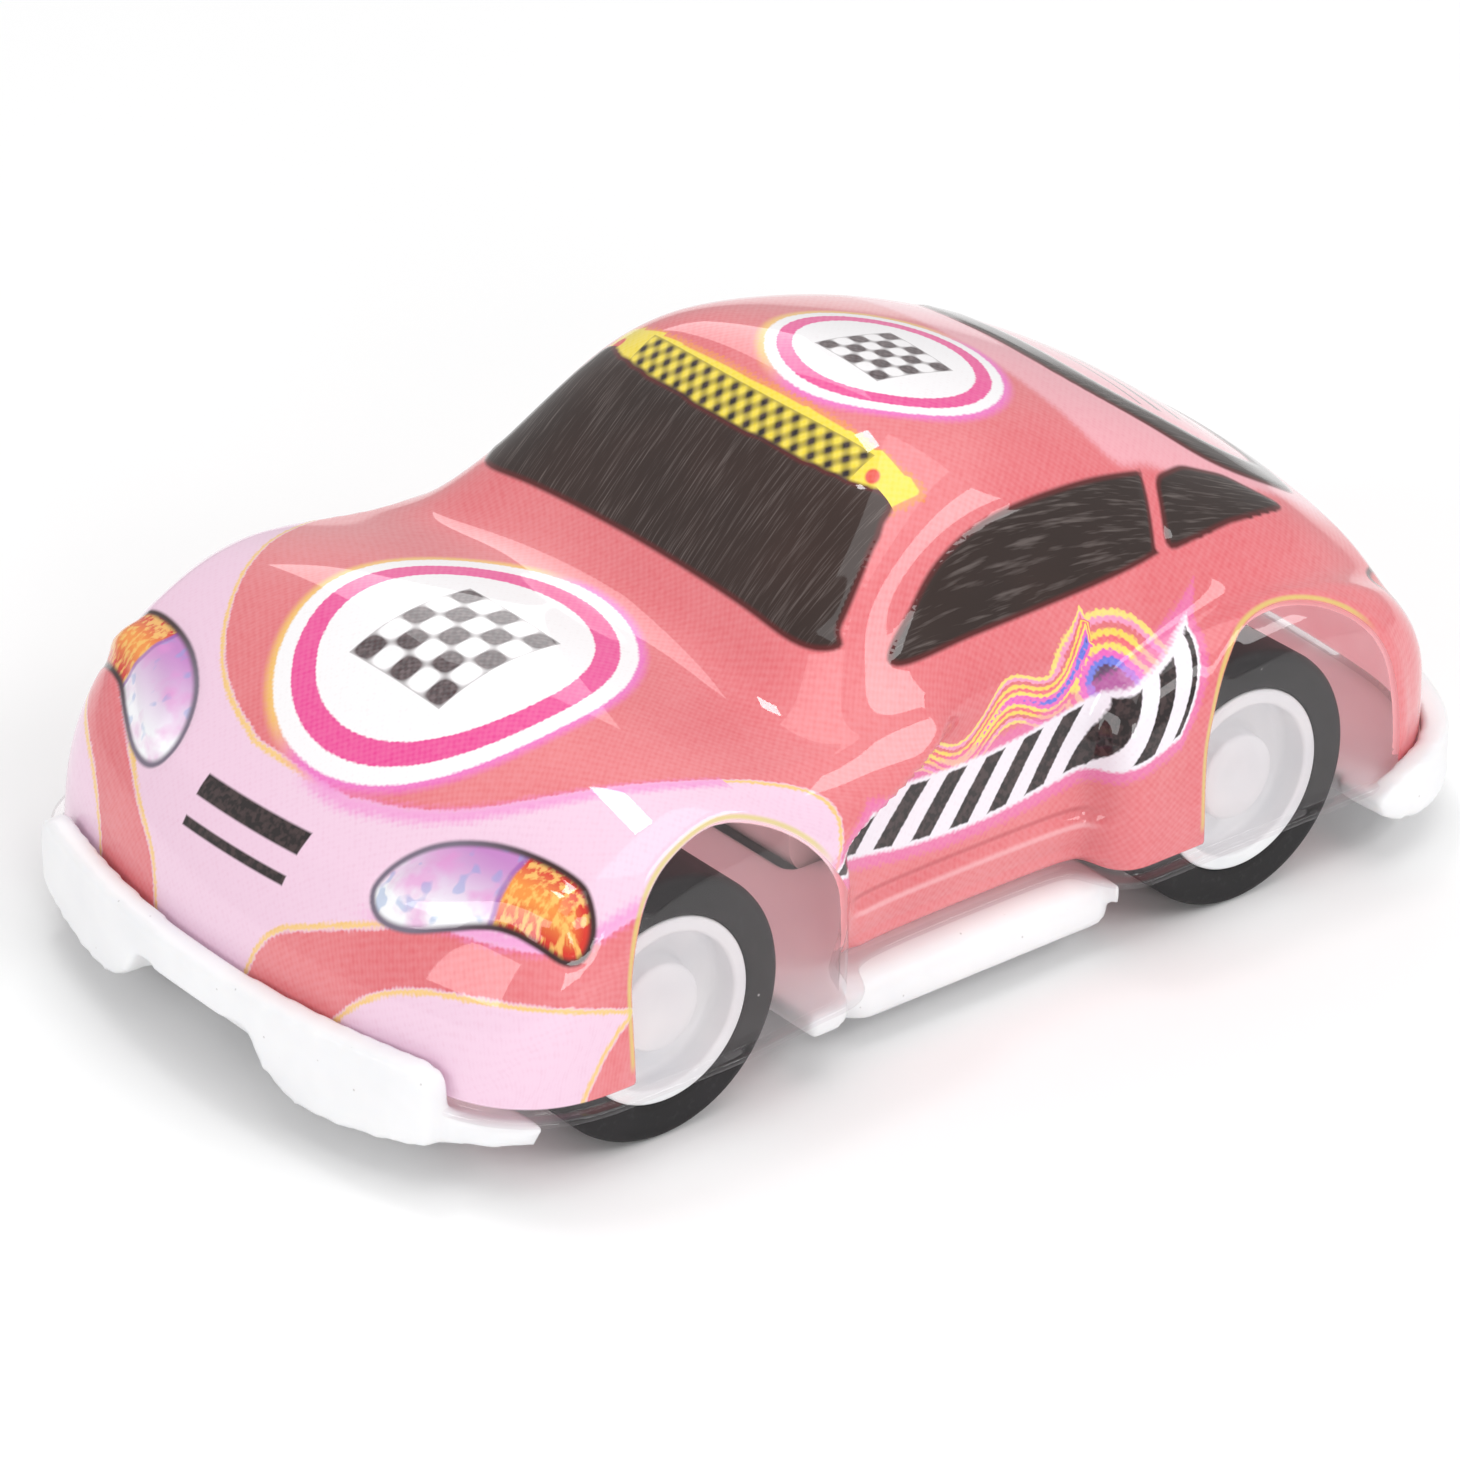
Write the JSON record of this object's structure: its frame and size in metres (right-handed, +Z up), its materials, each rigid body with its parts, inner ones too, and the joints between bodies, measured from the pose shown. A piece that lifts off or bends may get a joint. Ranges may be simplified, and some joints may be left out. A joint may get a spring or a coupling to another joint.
{
  "type": "pull back car",
  "caption": "Small rounded toy coupe with a thin printed clear shell, white chassis, rubber tyres and a wind-up spring motor that drives the rear axle after the car is pulled back.",
  "frame": {"origin": "on the ground under the middle of the car's overall length and width", "axes": "+Z up, front of the car towards -Y, the car's left side towards +X"},
  "size_m": [0.0494, 0.08, 0.0319],
  "materials": {
    "printed_film": "gloss",
    "white_plastic": "satin",
    "wheel_white": "satin",
    "black_rubber": "matte",
    "axle_steel": "satin",
    "spring_steel": "satin",
    "motor_plastic": "satin",
    "gear_plastic": "satin"
  },
  "bodies": {
    "car": {"chassis": "white_plastic", "body_shell": "printed_film", "motor_case_left": "motor_plastic", "motor_case_right": "motor_plastic", "transfer_pin": "axle_steel", "mainspring": "spring_steel"},
    "front_wheels": {"front_axle": "axle_steel", "wheel_front_left": "wheel_white", "wheel_front_right": "wheel_white", "tyre_front_left": "black_rubber", "tyre_front_right": "black_rubber"},
    "rear_wheels": {"rear_axle": "axle_steel", "axle_pinion": "gear_plastic", "wheel_rear_left": "wheel_white", "wheel_rear_right": "wheel_white", "tyre_rear_left": "black_rubber", "tyre_rear_right": "black_rubber"},
    "transfer": {"transfer_gear": "gear_plastic"},
    "spring_drum": {"spring_arbor": "gear_plastic", "spring_gear": "gear_plastic"}
  },
  "joints": [
    {"name": "front_axle_spin", "type": "hinge", "parent": "car", "child": "front_wheels", "pos_m": [0, -0.02327, 0.008], "axis": [1, 0, 0], "continuous": true},
    {"name": "rear_axle_spin", "type": "hinge", "parent": "car", "child": "rear_wheels", "pos_m": [0, 0.01893, 0.008], "axis": [1, 0, 0], "continuous": true},
    {"name": "transfer_gear_spin", "type": "hinge", "parent": "car", "child": "transfer", "pos_m": [0, 0.01322, 0.01286], "axis": [1, 0, 0], "continuous": true},
    {"name": "spring_gear_spin", "type": "hinge", "parent": "car", "child": "spring_drum", "pos_m": [0, 0.00423, 0.0124], "axis": [1, 0, 0], "continuous": true}
  ],
  "couplings": [
    {"joint": "transfer_gear_spin", "follows": "rear_axle_spin", "ratio": -0.5},
    {"joint": "spring_gear_spin", "follows": "rear_axle_spin", "ratio": 0.19231}
  ]
}
